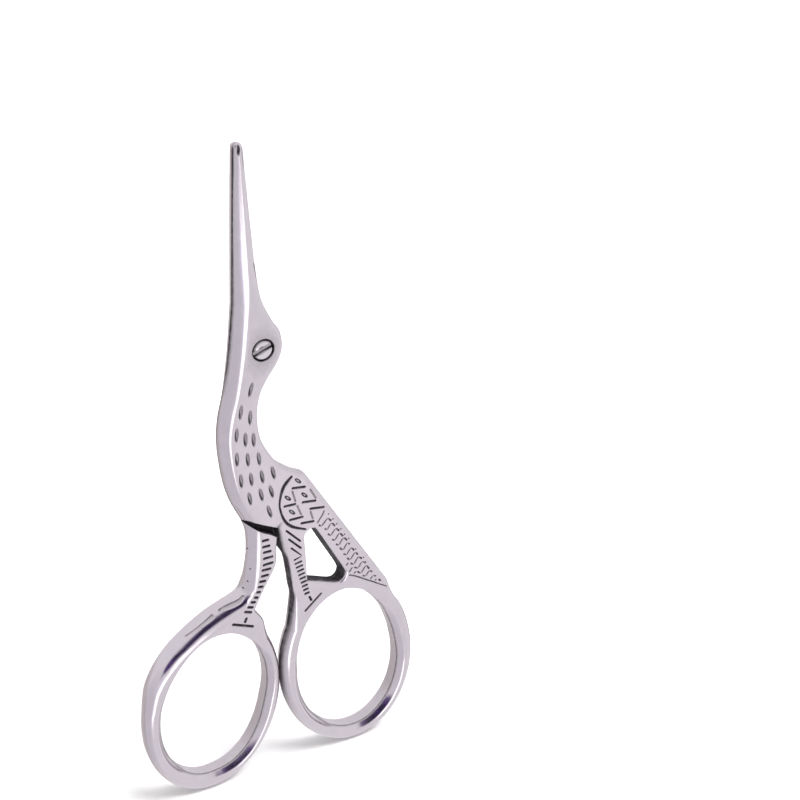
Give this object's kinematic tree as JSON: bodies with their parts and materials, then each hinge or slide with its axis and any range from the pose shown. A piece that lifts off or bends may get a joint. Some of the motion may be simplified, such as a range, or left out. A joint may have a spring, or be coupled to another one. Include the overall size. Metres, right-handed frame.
{
  "type": "embroidery scissors",
  "caption": "Small stork-shaped embroidery scissors: two pivoting steel halves with fine blades as the beak, engraved body and oval finger rings, held by a slotted screw.",
  "frame": {"origin": "middle of the object's box, at the level of the bottoms of the two finger rings", "axes": "+Z along the scissors from the rings to the blade tips, +X to the right seen from the engraved front, +Y through the thickness away from that front"},
  "size_m": [0.0394, 0.0028, 0.09],
  "materials": {
    "front_half_steel": "polished satin steel with darkened engraving",
    "rear_half_steel": "polished satin steel with darkened engraving",
    "screw_steel": "polished steel"
  },
  "bodies": {
    "front": {"front_half": "front_half_steel"},
    "rear": {"rear_half": "rear_half_steel", "pivot_screw": "screw_steel"}
  },
  "joints": [
    {"name": "pivot", "type": "hinge", "parent": "front", "child": "rear", "pos_m": [-0.00058, 0, 0.0629], "axis": [0, 1, 0], "range_deg": [0, 55]}
  ]
}
